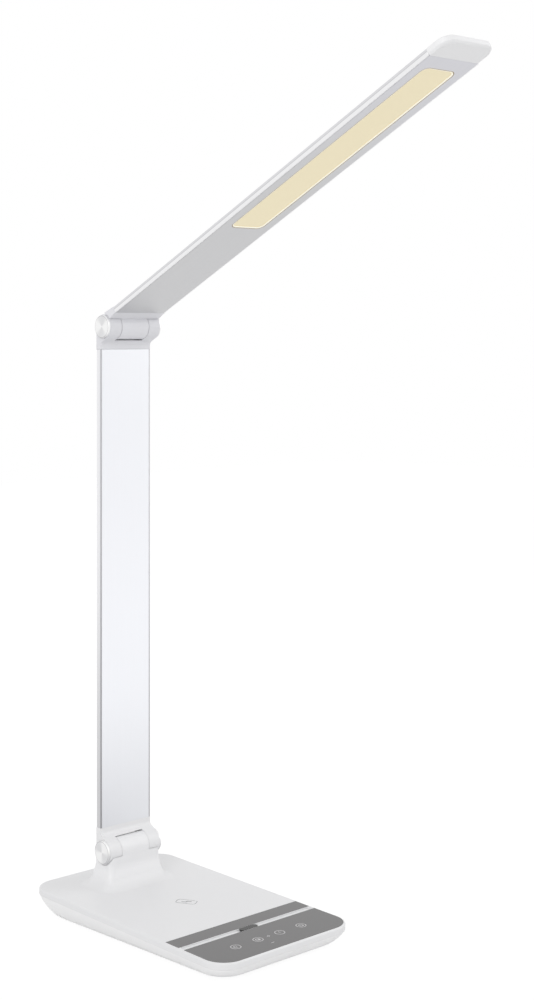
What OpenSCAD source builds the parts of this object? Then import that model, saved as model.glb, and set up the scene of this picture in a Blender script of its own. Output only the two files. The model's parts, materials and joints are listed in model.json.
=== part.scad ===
// Folding desk lamp: a boat-shaped base with a flared tower, an upright blade arm and a blade
// head with an edge-lit panel. Millimetres. +Z is up, the front is -Y, and the origin is the
// middle of the rubber pad's underside, on the desk. The base's flat top leans forward on its
// level underside, and all that stands on the top is drawn upright and leaned with it.

/* [Base] */
// Overall width of the base
base_w = 109.2; // [100:0.1:120]
// Overall length of the base, front to back
base_l = 193; // [186:0.5:206]
// Height of the two base shells together, halfway along the base
base_h = 14.3; // [13.5:0.1:18]
// Corner radius of the base seen from above
base_corner_r = 15.5; // [12:0.5:19]
// Radius of the soft edge round the flat top
base_edge_r = 1.2; // [1:0.1:2.4]
// Slope of the flat top, down towards the front
lean = 1.93; // [0:0.01:2.2]
// Height of the top shell's rim
rim_h = 4; // [3.5:0.1:5]
// Wall thickness of both base shells
shell_wall = 2; // [1.6:0.1:2.4]
// How far the hull draws in along its sides
hull_side_in = 7.6; // [5:0.1:9]
// How far the hull draws in at its front
hull_front_in = 8.1; // [6:0.1:12]
// How far the hull draws in at its back
hull_back_in = 3; // [2:0.1:6]
// Rear corner radius of the hull's flat underside
hull_corner_r = 28.4; // [24:0.1:32]
// How far the rubber pad stands out below the hull
pad_stand = 1.2; // [0.8:0.1:2]
// Width of the rubber pad
pad_w = 74; // [60:1:76]
// Length of the rubber pad
pad_l = 128; // [100:1:132]

/* [Control panel] */
// Distance from the base's front edge back to the dark strip's rear edge
panel_l = 52.9; // [49.5:0.1:56.5]
// Width of the dark strip behind the groove
strip_l = 12.6; // [9:0.1:14]
// Width of the light groove
groove_l = 4.6; // [3:0.1:6]
// Depth of the light groove
groove_deep = 1.1; // [0.4:0.1:1.3]
// Thickness of the dark panels
panel_t = 0.8; // [0.6:0.1:1]
// Length of the dark window in the groove
window_w = 13.5; // [10:0.5:20]
// Spacing of the touch marks
mark_pitch = 17.9; // [15:0.1:20]
// Distance from the groove to the row of touch marks
mark_row = 16.8; // [14:0.1:20]
// Height of the touch springs
spring_h = 3.4; // [3:0.1:4]

/* [Tower] */
// Distance from the base's rear edge forward to the hinge
hinge_inset = 34.8; // [30:0.1:40]
// Height of the lower hinge above the flat top
tower_h = 22.3; // [20:0.1:28]
// How far the tower reaches behind the hinge axis
tower_back = 10; // [9.2:0.1:12]
// Corner radius of the tower
tower_corner_r = 3; // [2:0.1:4]
// Height at which the tower's foot begins to flare
flare_h = 13; // [10:0.5:15]
// How far the tower's foot flares out
flare_out = 4.6; // [3:0.1:7]
// How far the tower's shoulders lie below the axis
shoulder_drop = 2.6; // [2.4:0.1:3]

/* [Hinges] */
// Radius of both hinge barrels
barrel_r = 8.15; // [7.8:0.05:8.6]
// Width of the centre knuckles
knuckle_w = 22; // [20:0.1:24]
// Radius of the hinge axles
axle_r = 3; // [2.6:0.1:3.3]
// Radius of the wire way through each axle
axle_bore_r = 1.5; // [1:0.1:1.7]
// Thickness of the friction washers
washer_t = 0.3; // [0.2:0.05:0.6]
// Outer radius of the knuckle bushes
bush_r = 4; // [3.9:0.1:4.6]
// Outer radius of the bush flanges and washers
flange_r = 5.6; // [5.2:0.1:6]
// Radius of the pocket in each ear for the axle's head or nut
pocket_r = 6; // [5.8:0.1:6.3]
// Depth of that pocket
pocket_deep = 4.6; // [4.4:0.1:5]
// Radius of the spun caps
cap_r = 7.7; // [7:0.1:7.9]
// Thickness of the spun caps
cap_t = 1.6; // [1:0.1:2]
// Slope of the ears' front, which meets the shoulders when folded
ear_slope = 27.6; // [24:0.1:30]
// Distance from each axis to the aluminium
fork_reach = 15; // [14.5:0.1:18]

/* [Arm] */
// Distance between the two hinge axes
arm_span = 345; // [341:1:400]
// Width of the arm and the head
blade_w = 41; // [39:0.1:43]
// How far the arm's front face lies behind the axes
arm_set = 2.9; // [2.6:0.1:4]
// Thickness of the arm
arm_t = 4.8; // [4.6:0.1:6]
// Wall thickness of the arm's channel
arm_wall = 1.2; // [1:0.1:1.3]
// Thickness of the arm's front cover
arm_cover_t = 1.2; // [1:0.1:1.3]
// Outside corner radius of both channels
channel_r = 0.8; // [0.5:0.1:1]
// Width of the flat lead inside the arm
wire_w = 4.4; // [3:0.1:5]
// Thickness of the flat lead
wire_t = 1.5; // [1:0.1:1.6]

/* [Head] */
// Angle of the head above level
head_pitch = 26; // [0:0.5:35]
// Distance from the upper axis to the head's tip
head_reach = 334.5; // [320:0.5:334.5]
// Length of the moulded tip
tip_l = 14.9; // [12:0.1:20]
// How far the head's underside lies above the axis
head_set = 2.6; // [2.4:0.1:3.2]
// Thickness of the head
head_t = 4.4; // [4.3:0.1:5.5]
// Wall thickness of the head's channel
head_wall = 0.9; // [0.8:0.05:1]
// Thickness of the head's underside cover
head_cover_t = 1; // [0.8:0.05:1.1]
// Distance from the tip's seam back to the light window
light_end = 10.3; // [9.2:0.1:20]
// Length of the light window
light_l = 177.7; // [160:0.1:182]
// Distance from the head's sides in to the light window
light_side = 7.7; // [7.6:0.1:10]
// Corner radius of the light window
light_r = 4.5; // [3:0.1:7]
// Corner radius of the head's tip
tip_r = 8; // [5:0.5:12]
// Angle of the head's shoulders above its axis
head_shoulder = 13; // [10.5:0.5:14]

/* [Inside the base] */
// Thickness of the counterweight
weight_t = 5; // [3:0.1:5.5]
// Gap from the touch board back to the counterweight
weight_gap = 7.1; // [3:0.1:30]
// Outer radius of the charging coil
coil_r = 21.5; // [18:0.5:24]
// Thickness of the charging coil
coil_t = 1; // [0.6:0.1:1.2]
// Thickness of the ferrite behind the coil
ferrite_t = 0.8; // [0.5:0.1:1]
// Radius of the inlet socket's bore
inlet_r = 2.8; // [2.7:0.05:2.85]
// Radius of the inlet's centre pin
inlet_pin_r = 1.05; // [0.8:0.05:1.25]
// Spacing of the base screws along the base
screw_pitch = 48; // [44:1:49]
// Distance of the base screws from the middle
screw_side = 41; // [40.5:0.1:41.5]

/* [Hidden] */
$fn = 96;
hull_fn = 32;
hull_curve = 0.6;
hair = 0.01;
clear = 0.1;
seam = 0.2;
turn_gap = 0.3;
board_t = 1.2;

// Levels
hull_z = pad_stand;
top_z = hull_z + base_h;
split_z = top_z - rim_h;
floor_z = hull_z + 1.8;
ceiling_z = top_z - shell_wall;
axis_z = top_z + tower_h;
upper_z = axis_z + arm_span;
hinge_y = base_l / 2 - hinge_inset;

// Flat top and the dark panels, which cover its whole width
flat_w = base_w - 2 * base_edge_r;
flat_l = base_l - 2 * base_edge_r;
flat_r = base_corner_r - base_edge_r;
strip_y = panel_l - base_l / 2;
groove_y = strip_y - strip_l;
touch_y = groove_y - groove_l;
marks_y = touch_y - mark_row;
mark_xs = [for (i = [-1.5:1:1.5]) i * mark_pitch];

// Hinge stack, measured from the middle outwards
run_gap = 0.05;
washer_gap = 0.025;
axle_seat = 0.02;
ear_in = knuckle_w / 2 + washer_t + 2 * washer_gap;
ear_out = blade_w / 2;
pocket_x = ear_out - pocket_deep;
scoop_r = barrel_r + turn_gap;
scoop_x = ear_in - 0.2;
bush_l = 6;
bush_flange_t = 0.8;
tower_wall = 2.2;
flare_r = 12;
foot_r = 1.5;
room_r = barrel_r + 0.9;
room_low = 6.6;
axle_head_t = 1.8;
nut_t = 2.4;
nut_r = 5;
cone_t = 0.5;

// Arm section: y behind the axes
arm_back = arm_set + arm_t;
arm_bed = arm_set + arm_cover_t;
arm_inside = arm_back - arm_wall;
rebate = 0.1;
side_wall = 0.8;
cover_half = blade_w / 2 - side_wall - clear;
ledge_w = 2;
ledge_t = 1;
tang_half = blade_w / 2 - side_wall - ledge_w - 0.3;
tang_l = 28;
tip_tang_l = 6.5;

// Screws that hold each channel to its tang, their heads sunk in the tang
tang_screw_x = 10;
tang_screw_s = 14;
tang_screw_r = 0.85;
tang_head_r = 1.9;
tang_head_t = 1;
tang_screw_sunk = 0.3;
skin = 0.3;

// Head section: height above the head's own axis line
head_top = head_set + head_t;
head_bed = head_set + head_cover_t;
head_inside = head_top - head_wall;
head_joint = fork_reach + 0.5;
tip_s = head_reach - tip_l;
tip_edge = 1.2;
tip_crest = 0.3;
lens_deep = 0.6;
lens_lip = 2;
lens_flange_t = 0.6;
reflector_t = 0.2;
guide_top = head_inside - reflector_t - 0.05;
guide_low = head_bed + lens_flange_t + 0.05;
light_w = blade_w - 2 * light_side;
guide_half = light_w / 2 + lens_lip;
light_start = tip_s - light_end - light_l;
guide_start = light_start - lens_lip;
guide_l = light_l + 2 * lens_lip;
chip_t = 0.7;
chip_l = 2.8;
chip_pitch = 11;
strip_t = 0.8;
rib_t = 0.8;

// Inside the base
lip_t = 1;
pad_r = 16;
pad_seat = 0.6;
board_l = 21.5;
board_w = 50;
standoff_r = 1.8;
standoff_in = 3;
board_z = floor_z + 0.6;
inlet_w = 9;
inlet_l = 12;
inlet_half_h = 3.4;
inlet_z = board_z + board_t + inlet_half_h;
inlet_face_y = base_l / 2 - 3.5;
inlet_on_board = 2;
board_y = inlet_face_y - inlet_l + inlet_on_board - board_l;

// Screws up through the bottom shell's posts into the top shell's bosses
screw_ys = [-screw_pitch, 0, screw_pitch];
post_r = 3.6;
boss_r = 3;
boss_z = split_z - 2.6;
screw_r = 0.95;
screw_bite = 3.4;
screw_head_r = 2.3;
screw_head_t = 1.5;
screw_sunk = 2.6;

// Touch board, pressed by its springs against two posts
touch_board_z = ceiling_z - spring_h - board_t;
touch_board_l = 26;
touch_board_side = 8.15;
touch_board_w = 3 * mark_pitch + 2 * touch_board_side;
touch_post_r = 2;
touch_post_x = touch_board_w / 2 - touch_post_r - 0.6;
spring_r = 2.4;
spring_wire = 0.35;
plus_at = [-1, 0];
minus_at = [-6, -9.4];

// Counterweight, between the base screws' posts and from the touch board to the power board
weight_r = 14;
weight_side = screw_side - post_r - 1.4;
weight_front = marks_y + touch_board_l / 2 + weight_gap;
weight_back = board_y - 5;

// ---------------------------------------------------------------- shared shapes

// A piece drawn on the +X side, and its mirror image
module both_sides() {
    children();
    mirror([1, 0, 0]) children();
}

// A section drawn from x = 0 out to $reach, mirrored and run along Y
module prism(length, $reach) {
    rotate([90, 0, 0]) linear_extrude(length, center = true) both_sides() children();
}

// The same section turned about Z
module turned($reach) {
    rotate_extrude() children();
}

// The same section carried round a rectangle with rounded corners
module round_plan(w, l, r) {
    prism(l - 2 * r, $reach = w / 2) children();
    rotate([0, 0, 90]) prism(w - 2 * r, $reach = l / 2) children();
    for (x = [-1, 1], y = [-1, 1])
        translate([x * (w / 2 - r), y * (l / 2 - r), 0]) turned($reach = r) children();
}

// Half section of a slab with a soft top edge
module soft_half(h, e) {
    square([$reach, h - e]);
    square([$reach - e, h]);
    translate([$reach - e, h - e]) intersection() {
        circle(e);
        square(e);
    }
}

// Half section of the tower's foot: upright, then sloping out, with a cove at both ends of the slope
module flare_half() {
    slope = atan2(flare_out, flare_h);
    start = flare_r * tan(slope / 2);
    toe = foot_r * tan((90 - slope) / 2);
    square([$reach, flare_h + start]);
    translate([$reach, 0]) difference() {
        polygon([
            [0, 0],
            [flare_out + toe, 0],
            [flare_out - toe * sin(slope), toe * cos(slope)],
            [start * sin(slope), flare_h - start * cos(slope)],
            [0, flare_h + start]
        ]);
        translate([flare_r, flare_h + start]) circle(flare_r);
        translate([flare_out + toe, foot_r]) circle(foot_r);
    }
}

module round_rect(w, l, r) {
    square([w - 2 * r, l], center = true);
    square([w, l - 2 * r], center = true);
    for (x = [-1, 1], y = [-1, 1])
        translate([x * (w / 2 - r), y * (l / 2 - r)]) circle(r);
}

module round_block(w, l, r, h) {
    linear_extrude(h) round_rect(w, l, r);
}

// One level of the boat, from its leaning rim at a = 0 to its level underside at a = 90. It draws
// in at the front, the back and the sides, and its rear corners grow rounder.
function boat_ring(w, l, low_z, r_top, r_low, a) =
    let (t = pow(1 - cos(a), hull_curve))
    [for (q = [0:3], i = [0:hull_fn / 4])
        let (
            turn = 90 * q + 90 * i / (hull_fn / 4),
            back = q < 2,
            r = r_top + (back ? r_low - r_top : 0) * t,
            y = (back ? l / 2 - hull_back_in * t - r : -l / 2 + hull_front_in * t + r) + r * sin(turn)
        )
        [
            (q == 0 || q == 3 ? 1 : -1) * (w / 2 - hull_side_in * t - r) + r * cos(turn),
            y * cos(lean),
            low_z + (split_z + y * sin(lean) - low_z) * (1 - sin(a))
        ]];

// Hull of a boat, its rim in the shells' leaning joint, or lifted above it for a hollow
module boat(w, l, low_z, r_top, r_low, steps, lift = 0) {
    around = hull_fn + 4;
    rim = [for (p = boat_ring(w, l, low_z, r_top, r_low, 0)) p + [0, 0, lift]];
    rings = [
        if (lift > 0) rim,
        for (i = [0:steps]) boat_ring(w, l, low_z, r_top, r_low, 90 * i / steps)
    ];
    levels = len(rings) - 1;
    points = [for (level = rings) each level];
    top = [for (j = [around - 1:-1:0]) j];
    bottom = [for (j = [0:around - 1]) levels * around + j];
    sides = [for (i = [0:levels - 1], j = [0:around - 1])
        let (k = (j + 1) % around, a = i * around, b = a + around)
        each [[a + j, a + k, b + k], [a + j, b + k, b + j]]];
    polyhedron(points, concat([top, bottom], sides));
}

// Leans a piece drawn upright on a level top, about the middle of the shells' joint
module leaned() {
    translate([0, 0, split_z]) rotate([lean, 0, 0]) translate([0, 0, -split_z]) children();
}

// Height, before leaning, of a point on a level plane
function leaned_z(z, y) = split_z + (z - split_z - y * sin(lean)) / cos(lean);

// A section in the (y, z) plane run along X
module across(w) {
    rotate([90, 0, 90]) linear_extrude(w, center = true) children();
}

// A round bar along X, from x0 to x1
module bar(r, x0, x1) {
    translate([x0, 0, 0]) rotate([0, 90, 0]) cylinder(r = r, h = x1 - x0);
}

module ring(r_out, r_in, x0, x1) {
    difference() {
        bar(r_out, x0, x1);
        bar(r_in, x0 - 1, x1 + 1);
    }
}

// Puts a piece drawn on the X axis on a hinge axis
module at_lower() {
    translate([0, hinge_y, axis_z]) children();
}

module at_upper() {
    translate([0, hinge_y, upper_z]) children();
}

// Puts a piece drawn level, pointing to -Y, in the head's resting pose
module at_head() {
    at_upper() rotate([-head_pitch, 0, 0]) children();
}

// Turns a piece drawn with the arm going down into one with the arm going up
module arm_up() {
    mirror([0, 0, 1]) children();
}

// ---------------------------------------------------------------- base

module tower_section() {
    polygon([
        [-barrel_r, -tower_h - shell_wall],
        [-barrel_r, -shoulder_drop],
        [tower_back - 2.4, -shoulder_drop],
        [tower_back, -shoulder_drop - 4],
        [tower_back, -tower_h - shell_wall]
    ]);
}

module tower_plan(h) {
    depth = barrel_r + tower_back;
    translate([0, (tower_back - barrel_r) / 2, 0])
        round_block(blade_w, depth, tower_corner_r, h);
}

module tower() {
    depth = barrel_r + tower_back;
    difference() {
        union() {
            intersection() {
                across(blade_w) tower_section();
                translate([0, 0, -tower_h - shell_wall]) tower_plan(tower_h + shell_wall);
            }
            translate([0, (tower_back - barrel_r) / 2, -tower_h])
                round_plan(blade_w, depth, tower_corner_r) flare_half();
        }
        both_sides() bar(scoop_r, scoop_x, blade_w);
    }
    bar(barrel_r, -knuckle_w / 2, knuckle_w / 2);
}

// Seats for the flanged bushes and the way for the axle
module bush_seats() {
    bar(bush_r, -knuckle_w, knuckle_w);
    both_sides() bar(flange_r + clear, knuckle_w / 2 - bush_flange_t, knuckle_w / 2 + 1);
}

// Room for the wire, open to the base and to the hinge's bore
module tower_hollow() {
    depth = barrel_r + tower_back - 2 * tower_wall;
    hollow_top = -barrel_r - tower_wall;
    translate([0, (tower_back - barrel_r) / 2, -tower_h - shell_wall - 1])
        round_block(blade_w - 2 * tower_wall, depth, tower_corner_r, tower_h + shell_wall + 1 + hollow_top);
    translate([0, 0, hollow_top - 1]) cylinder(r = 2, h = barrel_r);
}

// Base screws stand square to the leaning joint. $under and $floor are the heights, before leaning,
// of the hull's underside and floor below each one.
module at_base_screws() {
    for (y = screw_ys)
        screw_place(y, $under = leaned_z(hull_z, y), $floor = leaned_z(floor_z, y)) children();
}

module screw_place(y) {
    both_sides() translate([screw_side, y, 0]) children();
}

module at_touch_posts() {
    both_sides() translate([touch_post_x, marks_y, 0]) children();
}

module base_top_shell() color("gainsboro") {
    top_skin();
    at_base_screws() translate([0, 0, boss_z]) difference() {
        cylinder(r = boss_r, h = ceiling_z - boss_z + 0.5);
        translate([0, 0, -1]) cylinder(r = screw_r + 0.05, h = ceiling_z - boss_z + 1);
    }
    at_touch_posts() translate([0, 0, touch_board_z + board_t])
        cylinder(r = touch_post_r, h = spring_h + 0.5);
}

// The top, its rim and the tower, hollow below, with the panels' recesses cut in it
module top_skin() difference() {
    union() {
        translate([0, 0, split_z])
            round_plan(base_w, base_l, base_corner_r) soft_half(rim_h, base_edge_r);
        at_lower() tower();
    }
    translate([0, 0, split_z - 1])
        round_block(base_w - 2 * shell_wall, base_l - 2 * shell_wall,
            base_corner_r - shell_wall, ceiling_z - split_z + 1);
    touch_recess();
    strip_recess();
    groove();
    at_lower() {
        bush_seats();
        tower_hollow();
    }
}

// The part of the flat top between two lines across the base
module top_band(y0, y1, z0, z1, shrink = 0) {
    translate([0, 0, z0]) linear_extrude(z1 - z0) intersection() {
        round_rect(flat_w - 2 * shrink, flat_l - 2 * shrink, flat_r - shrink);
        translate([-base_w / 2, y0 + shrink]) square([base_w, y1 - y0 - 2 * shrink]);
    }
}

module touch_recess() {
    top_band(-base_l, touch_y, top_z - panel_t, top_z + 1);
}

module strip_recess() {
    top_band(groove_y, strip_y, top_z - panel_t, top_z + 1);
}

// Light channel between the dark panels, closed at both ends
module groove() {
    translate([0, (groove_y + touch_y) / 2, top_z - groove_deep])
        round_block(flat_w - 2 * base_edge_r, groove_l - hair, 1, groove_deep + 1);
}

module base_bottom_shell() color("whitesmoke") {
    difference() {
        union() {
            difference() {
                boat(base_w, base_l, hull_z, base_corner_r, hull_corner_r, 8);
                boat(base_w - 2 * shell_wall, base_l - 2 * shell_wall, floor_z,
                    base_corner_r - shell_wall, hull_corner_r - shell_wall, 6, lift = 1);
            }
            leaned() at_base_screws()
                translate([0, 0, $floor - 1]) cylinder(r = post_r, h = boss_z - $floor + 1);
            for (y = [standoff_in, board_l - standoff_in])
                both_sides() translate([board_w / 2 - standoff_in, board_y + y, floor_z - 1])
                    cylinder(r = standoff_r, h = board_z - floor_z + 1);
        }
        leaned() at_base_screws() translate([0, 0, $under - 1]) {
            cylinder(r = screw_head_r + 0.3, h = screw_sunk + 1);
            cylinder(r = screw_r + 0.4, h = base_h);
        }
        translate([0, 0, hull_z - 1]) round_block(pad_w, pad_l, pad_r, 1 + pad_seat);
        // Pocket for the inlet, and the way in to it
        translate([-inlet_w / 2 - clear, inlet_face_y - inlet_l, inlet_z - inlet_half_h - clear])
            cube([inlet_w + 2 * clear, inlet_l + clear, inlet_half_h]);
        translate([0, base_l / 2 + 1, inlet_z]) rotate([90, 0, 0])
            cylinder(r = inlet_r + 0.2, h = base_l / 2 + 2 - inlet_face_y);
    }
    // Lip that locates the top shell
    leaned() translate([0, 0, split_z - 1]) linear_extrude(2) difference() {
        round_rect(base_w - 2 * shell_wall - seam, base_l - 2 * shell_wall - seam,
            base_corner_r - shell_wall - seam / 2);
        round_rect(base_w - 2 * shell_wall - seam - 2 * lip_t,
            base_l - 2 * shell_wall - seam - 2 * lip_t,
            base_corner_r - shell_wall - seam / 2 - lip_t);
    }
}

module counterweight() color("dimgray")
    translate([0, (weight_front + weight_back) / 2, floor_z])
        round_block(2 * weight_side, weight_back - weight_front, weight_r, weight_t);

module rubber_pad() color("darkslategray")
    round_block(pad_w - 2 * clear, pad_l - 2 * clear, pad_r - clear, pad_stand + pad_seat);

module base_screws() color("silver") at_base_screws()
    translate([0, 0, $under + screw_sunk - screw_head_t]) {
        cylinder(r = screw_head_r, h = screw_head_t);
        cylinder(r = screw_r, h = boss_z + screw_bite - $under - screw_sunk + screw_head_t);
    }

module touch_panel() color("dimgray")
    top_band(-base_l, touch_y, top_z - panel_t, top_z, clear);

module rear_trim_strip() color("dimgray")
    top_band(groove_y, strip_y, top_z - panel_t, top_z, clear);

module status_window() color("black")
    translate([0, (groove_y + touch_y) / 2, top_z - groove_deep])
        round_block(window_w, groove_l - 2 * clear, groove_l / 2 - clear - hair, groove_deep);

module touch_board() color("darkgreen")
    translate([0, marks_y, touch_board_z]) round_block(touch_board_w, touch_board_l, 3, board_t);

// One spring under each of the four marks, and one for each of the two small keys
module touch_springs() color("silver")
    for (p = [for (x = mark_xs) [x, 0], plus_at, minus_at])
        translate([p.x, marks_y + p.y, touch_board_z + board_t])
            spring(spring_r, spring_wire, spring_h - clear);

// A close-wound compression spring, its turns just touching
module spring(r, wire, h) {
    turns = ceil((h - 2 * wire) / (1.9 * wire)) + 1;
    rotate_extrude() for (i = [0:turns - 1])
        translate([r - wire, wire + i * (h - 2 * wire) / (turns - 1)]) circle(wire);
}

module charging_coil() color("peru")
    translate([0, 0, ceiling_z - coil_t]) difference() {
        for (r = [coil_r:-1.5:coil_r / 2])
            ring_up(r, r - 1.3, coil_t);
        translate([0, 0, -1]) cylinder(r = coil_r / 2 - 2, h = coil_t + 2);
    }

module ring_up(r_out, r_in, h) {
    linear_extrude(h) difference() {
        circle(r_out);
        circle(r_in);
    }
}

module coil_ferrite() color("dimgray")
    translate([0, 0, ceiling_z - coil_t - ferrite_t])
        round_block(2 * coil_r + 3, 2 * coil_r + 3, 2, ferrite_t);

module power_board() color("darkgreen")
    translate([0, board_y + board_l / 2, board_z]) round_block(board_w, board_l, 2, board_t);

// Two capacitors, a choke, the controller and a lead connector
module board_components() color("black") translate([0, board_y, board_z + board_t]) {
    for (y = [5, 13]) translate([-16, y, 0]) cylinder(r = 3.2, h = 6);
    translate([8, 2, 0]) cube([9, 9, 4]);
    translate([-6, 4, 0]) cube([7, 7, 1.4]);
    translate([12, 13.5, 0]) cube([6, 5, 1.6]);
}

module dc_inlet() color("black")
    translate([0, inlet_face_y, inlet_z]) {
        difference() {
            translate([-inlet_w / 2, -inlet_l, -inlet_half_h]) cube([inlet_w, inlet_l, 2 * inlet_half_h]);
            rotate([90, 0, 0]) translate([0, 0, -1]) cylinder(r = inlet_r, h = inlet_l - 1);
        }
        rotate([90, 0, 0]) cylinder(r = inlet_pin_r, h = inlet_l - 1);
    }

// ---------------------------------------------------------------- hinge hardware

module bushes() {
    both_sides() {
        ring(bush_r, axle_r + run_gap, knuckle_w / 2 - bush_l, knuckle_w / 2 - bush_flange_t);
        ring(flange_r - clear, axle_r + run_gap, knuckle_w / 2 - bush_flange_t, knuckle_w / 2);
    }
}

module axle() {
    difference() {
        union() {
            bar(axle_r, -pocket_x, pocket_x + cone_t + nut_t + 0.3);
            bar(pocket_r - 1, -pocket_x - axle_head_t, -pocket_x);
        }
        bar(axle_bore_r, -blade_w, blade_w);
        translate([0, 0, -axle_r - 1]) cylinder(r = axle_bore_r - 0.2, h = 2 * axle_r + 2);
    }
}

module washers() {
    both_sides() ring(flange_r, axle_r + run_gap, knuckle_w / 2 + washer_gap, ear_in - washer_gap);
}

module lock_nut() {
    difference() {
        union() {
            bar(pocket_r - 0.8, pocket_x, pocket_x + cone_t);
            translate([pocket_x + cone_t, 0, 0]) rotate([0, 90, 0]) cylinder(r = nut_r, h = nut_t, $fn = 6);
        }
        bar(axle_r + axle_seat, 0, blade_w);
    }
}

// Spun cap on the right ear, with a skirt that grips the ear's pocket
module cap() {
    translate([ear_out, 0, 0]) rotate([0, 90, 0]) {
        rotate_extrude() polygon([
            [0, 0], [cap_r, 0], [cap_r, cap_t - 0.6], [cap_r - 0.2, cap_t - 0.2],
            [cap_r - 0.6, cap_t], [0, cap_t - 0.25]
        ]);
        translate([0, 0, -1.3]) ring_up(pocket_r - clear, pocket_r - 0.8, 1.4);
    }
}

// ---------------------------------------------------------------- arm

// Fork in the (y, z) plane with the arm going down: barrel, sloped front, concave toe, flat back
module fork_section() {
    toe_z = barrel_r * cos(ear_slope) + (arm_set + barrel_r * sin(ear_slope)) * tan(ear_slope);
    toe_r = 3;
    toe_back = toe_r * tan((90 - ear_slope) / 2);
    circle(barrel_r);
    difference() {
        polygon([
            [0, 0],
            [-barrel_r * sin(ear_slope), -barrel_r * cos(ear_slope)],
            [arm_set - toe_back * cos(ear_slope), toe_back * sin(ear_slope) - toe_z],
            [arm_set, -toe_z - toe_back],
            [arm_set, -fork_reach],
            [arm_back, -fork_reach],
            [arm_back, 0]
        ]);
        translate([arm_set - toe_r, -toe_z - toe_back]) circle(toe_r);
    }
}

module fork() {
    difference() {
        union() {
            across(blade_w) fork_section();
            translate([-tang_half, arm_bed + clear, -fork_reach - tang_l])
                cube([2 * tang_half, arm_inside - arm_bed - 2 * clear, tang_l + 1]);
        }
        // Room for the centre knuckle
        bar(room_r, -ear_in, ear_in);
        translate([-ear_in, -blade_w / 2, -room_low]) cube([2 * ear_in, blade_w, blade_w]);
        // Axle, and the pockets for its head and nut
        bar(axle_r + axle_seat, -blade_w, blade_w);
        both_sides() bar(pocket_r, pocket_x, blade_w);
        // Way for the lead
        translate([-wire_w / 2 - 0.3, arm_bed - 0.2, -fork_reach - tang_l - 1])
            cube([wire_w + 0.6, arm_inside - arm_bed + 0.2, tang_l + fork_reach - 4]);
        both_sides() translate([tang_screw_x, arm_bed, -fork_reach - tang_screw_s])
            rotate([-90, 0, 0]) tang_screw_hole();
    }
}

module lower_fork() color("gainsboro") at_lower() arm_up() fork();

module upper_fork() color("gainsboro") at_upper() fork();

// Channel with the open side at y = bed, from the open edge to the outside of the web
module channel_section(open_y, bed, web_in, web_out) {
    half = blade_w / 2;
    difference() {
        union() {
            translate([-half, open_y]) square([blade_w, web_out - channel_r - open_y]);
            translate([-half + channel_r, open_y]) square([blade_w - 2 * channel_r, web_out - open_y]);
            for (x = [-1, 1])
                translate([x * (half - channel_r), web_out - channel_r]) circle(channel_r);
        }
        translate([-half + side_wall, open_y - 1]) square([blade_w - 2 * side_wall, bed - open_y + 1]);
        translate([-half + side_wall + ledge_w, open_y])
            square([blade_w - 2 * side_wall - 2 * ledge_w, web_in - open_y]);
        translate([-half + side_wall, bed + ledge_t])
            square([blade_w - 2 * side_wall, web_in - bed - ledge_t]);
    }
}

module at_fork_screws() {
    for (z = [axis_z + fork_reach + tang_screw_s, upper_z - fork_reach - tang_screw_s])
        both_sides() translate([tang_screw_x, hinge_y + arm_bed, z]) rotate([-90, 0, 0]) children();
}

module arm_profile() color("white") difference() {
    translate([0, hinge_y, axis_z + fork_reach]) linear_extrude(arm_span - 2 * fork_reach)
        channel_section(arm_set + rebate, arm_bed, arm_inside, arm_back);
    at_fork_screws() cylinder(r = tang_screw_r + 0.05, h = arm_back - arm_bed - skin);
}

module arm_cover() color("white") translate([0, hinge_y, axis_z + fork_reach]) {
    length = arm_span - 2 * fork_reach;
    translate([-cover_half, arm_set, 0]) cube([2 * cover_half, arm_cover_t, length]);
    // Snap ribs that hook behind the channel's ledges, clear of the forks' tangs
    both_sides()
        translate([0, 0, tang_l + 4]) linear_extrude(length - 2 * tang_l - 8) polygon([
            [tang_half - 0.8, arm_bed - 0.1], [tang_half, arm_bed - 0.1],
            [tang_half, arm_bed + ledge_t + clear], [tang_half + 0.9, arm_bed + ledge_t + clear],
            [tang_half, arm_bed + ledge_t + 1], [tang_half - 0.8, arm_bed + ledge_t + 1]
        ]);
}

module arm_wire() color("black")
    translate([-wire_w / 2, hinge_y + arm_inside - clear - wire_t, axis_z + barrel_r + 1.5])
        cube([wire_w, wire_t, arm_span - 2 * barrel_r - 3]);

// Screw that runs from a channel's bed into its web, and its hole in the tang between them
module tang_screw(depth) {
    translate([0, 0, tang_screw_sunk]) {
        cylinder(r = tang_head_r, h = tang_head_t);
        cylinder(r = tang_screw_r, h = depth - tang_screw_sunk - clear);
    }
}

module tang_screw_hole() {
    cylinder(r = tang_screw_r + 0.25, h = arm_t);
    cylinder(r = tang_head_r + 0.2, h = tang_screw_sunk + tang_head_t);
}

module fork_screws() color("silver") at_fork_screws() tang_screw(arm_back - arm_bed - skin);

module lower_axle() color("silver") at_lower() axle();

module upper_axle() color("silver") at_upper() axle();

module lower_washers() color("darkgoldenrod") at_lower() washers();

module upper_washers() color("darkgoldenrod") at_upper() washers();

module lower_lock_nut() color("silver") at_lower() lock_nut();

module upper_lock_nut() color("silver") at_upper() lock_nut();

module lower_cap_left() color("lightgray") at_lower() mirror([1, 0, 0]) cap();

module lower_cap_right() color("lightgray") at_lower() cap();

module upper_cap_left() color("lightgray") at_upper() mirror([1, 0, 0]) cap();

module upper_cap_right() color("lightgray") at_upper() cap();

module lower_bushes() color("darkgoldenrod") at_lower() bushes();

module upper_bushes() color("darkgoldenrod") at_head() bushes();

// ---------------------------------------------------------------- head, drawn level towards -Y

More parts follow.
